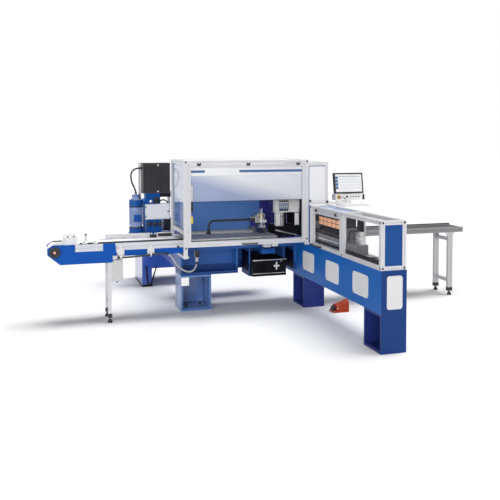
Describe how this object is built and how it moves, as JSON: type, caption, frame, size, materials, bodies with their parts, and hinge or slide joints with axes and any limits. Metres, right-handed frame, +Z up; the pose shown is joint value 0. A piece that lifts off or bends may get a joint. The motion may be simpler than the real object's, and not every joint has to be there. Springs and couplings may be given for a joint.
{
  "type": "bar punching machine",
  "caption": "Long machine that feeds metal bars on a conveyor through a guarded hydraulic press, with a tool magazine on a front arm, an outfeed table, a console and a foot switch.",
  "frame": {"origin": "centre of the machine's outline on the floor", "axes": "+X along the bar from infeed to outfeed, +Y from the arm to the rear stand, +Z up"},
  "size_m": [5.88, 4.88, 2],
  "materials": {
    "blue_paint": "gloss",
    "navy_paint": "satin",
    "aluminium_bar": "satin",
    "white_paint": "satin",
    "clear_pane": "gloss",
    "black_plastic": "matte",
    "black_paint": "satin",
    "steel": "brushed",
    "grey_paint": "satin",
    "dark_steel": "machined",
    "bronze": "satin",
    "belt_rubber": "matte",
    "hose_rubber": "matte",
    "yellow_plastic": "gloss",
    "red_plastic": "gloss",
    "orange_plastic": "satin"
  },
  "bodies": {
    "machine": {"base_front_leg": "blue_paint", "base_front_beam": "blue_paint", "base_rear_frame": "blue_paint", "floor_feet": "black_plastic", "feed_table": "dark_steel", "linear_rails": "steel", "press_frame": "navy_paint", "press_head": "white_paint", "head_valves": "steel", "die_block": "black_paint", "arm_beam": "blue_paint", "arm_legs": "blue_paint", "arm_plates": "white_paint", "arm_guard_frame": "aluminium_bar", "arm_guard_panes": "clear_pane", "infill_panels": "blue_paint", "enclosure_frame": "aluminium_bar", "enclosure_panes": "clear_pane", "cover_panels": "white_paint", "hinge_knuckles": "black_plastic", "safety_switch": "yellow_plastic", "conveyor_beams": "aluminium_bar", "infeed_belt": "belt_rubber", "head_plates": "blue_paint", "head_flange": "black_paint", "infeed_guides": "white_paint", "conveyor_legs": "aluminium_bar", "control_boxes": "grey_paint", "power_hose": "hose_rubber", "outfeed_bed": "steel", "outfeed_guide": "black_plastic", "hmi_bracket": "grey_paint", "pump_motor": "blue_paint", "oil_tank": "blue_paint", "oil_cooler": "black_paint", "pack_frame": "aluminium_bar", "hydraulic_hose": "hose_rubber", "pedal_housing": "orange_plastic"},
    "door": {"door_frame": "aluminium_bar", "door_panes": "clear_pane", "door_fittings": "black_plastic"},
    "arm_flap": {"arm_door_frame": "aluminium_bar", "arm_door_pane": "clear_pane", "arm_door_fittings": "black_plastic"},
    "feed": {"feed_carriage": "white_paint", "gripper_body": "white_paint", "carriage_conduit": "hose_rubber"},
    "jaw": {"gripper_jaw": "steel"},
    "ram": {"press_ram": "steel"},
    "magazine": {"magazine_carriage": "dark_steel", "punch_tools": "bronze"},
    "drive": {"drive_pulley": "steel"},
    "idler": {"idler_pulley": "steel"},
    "console": {"hmi_arm": "grey_paint", "hmi_console": "white_paint", "hmi_monitor": "black_plastic"},
    "stop": {"stop_button": "red_plastic"},
    "start": {"start_button": "grey_paint"},
    "drawer": {"slug_drawer": "black_paint"},
    "pedal": {"pedal_tread": "hose_rubber"}
  },
  "joints": [
    {"name": "door_lift", "type": "hinge", "parent": "machine", "child": "door", "pos_m": [0, -0.479, 1.953], "axis": [-1, 0, 0], "range_deg": [0, 85]},
    {"name": "arm_flap_lift", "type": "hinge", "parent": "machine", "child": "arm_flap", "pos_m": [0.352, -1, 1.357], "axis": [0, 1, 0], "range_deg": [0, 85]},
    {"name": "feed_slide", "type": "slide", "parent": "machine", "child": "feed", "axis": [1, 0, 0], "range_m": [-0.36, 0]},
    {"name": "jaw_slide", "type": "slide", "parent": "feed", "child": "jaw", "axis": [0, 0, 1], "range_m": [-0.05, 0]},
    {"name": "ram_slide", "type": "slide", "parent": "machine", "child": "ram", "axis": [0, 0, 1], "range_m": [-0.045, 0]},
    {"name": "magazine_slide", "type": "slide", "parent": "machine", "child": "magazine", "axis": [0, 1, 0], "range_m": [-0.45, 0.43]},
    {"name": "drive_spin", "type": "hinge", "parent": "machine", "child": "drive", "pos_m": [-2.854, -0.1, 0.903], "axis": [0, 1, 0], "continuous": true},
    {"name": "idler_spin", "type": "hinge", "parent": "machine", "child": "idler", "pos_m": [-1.35, -0.1, 0.903], "axis": [0, 1, 0], "continuous": true},
    {"name": "console_swivel", "type": "hinge", "parent": "machine", "child": "console", "pos_m": [0.69, -0.4475, 1.4], "axis": [0, 0, 1], "range_deg": [-30, 30]},
    {"name": "stop_press", "type": "slide", "parent": "console", "child": "stop", "axis": [0, 1, 0], "range_m": [0, 0.005], "stiffness_N_per_m": 800},
    {"name": "start_press", "type": "slide", "parent": "console", "child": "start", "axis": [0, 1, 0], "range_m": [0, 0.005], "stiffness_N_per_m": 600},
    {"name": "drawer_slide", "type": "slide", "parent": "machine", "child": "drawer", "axis": [0, -1, 0], "range_m": [0, 0.33]},
    {"name": "tread_press", "type": "hinge", "parent": "machine", "child": "pedal", "pos_m": [0.68, -0.625, 0.056], "axis": [0, 1, 0], "range_deg": [0, 8], "stiffness_Nm_per_rad": 20, "springref_deg": -5.73}
  ],
  "couplings": [
    {"joint": "idler_spin", "follows": "drive_spin", "ratio": 1}
  ]
}
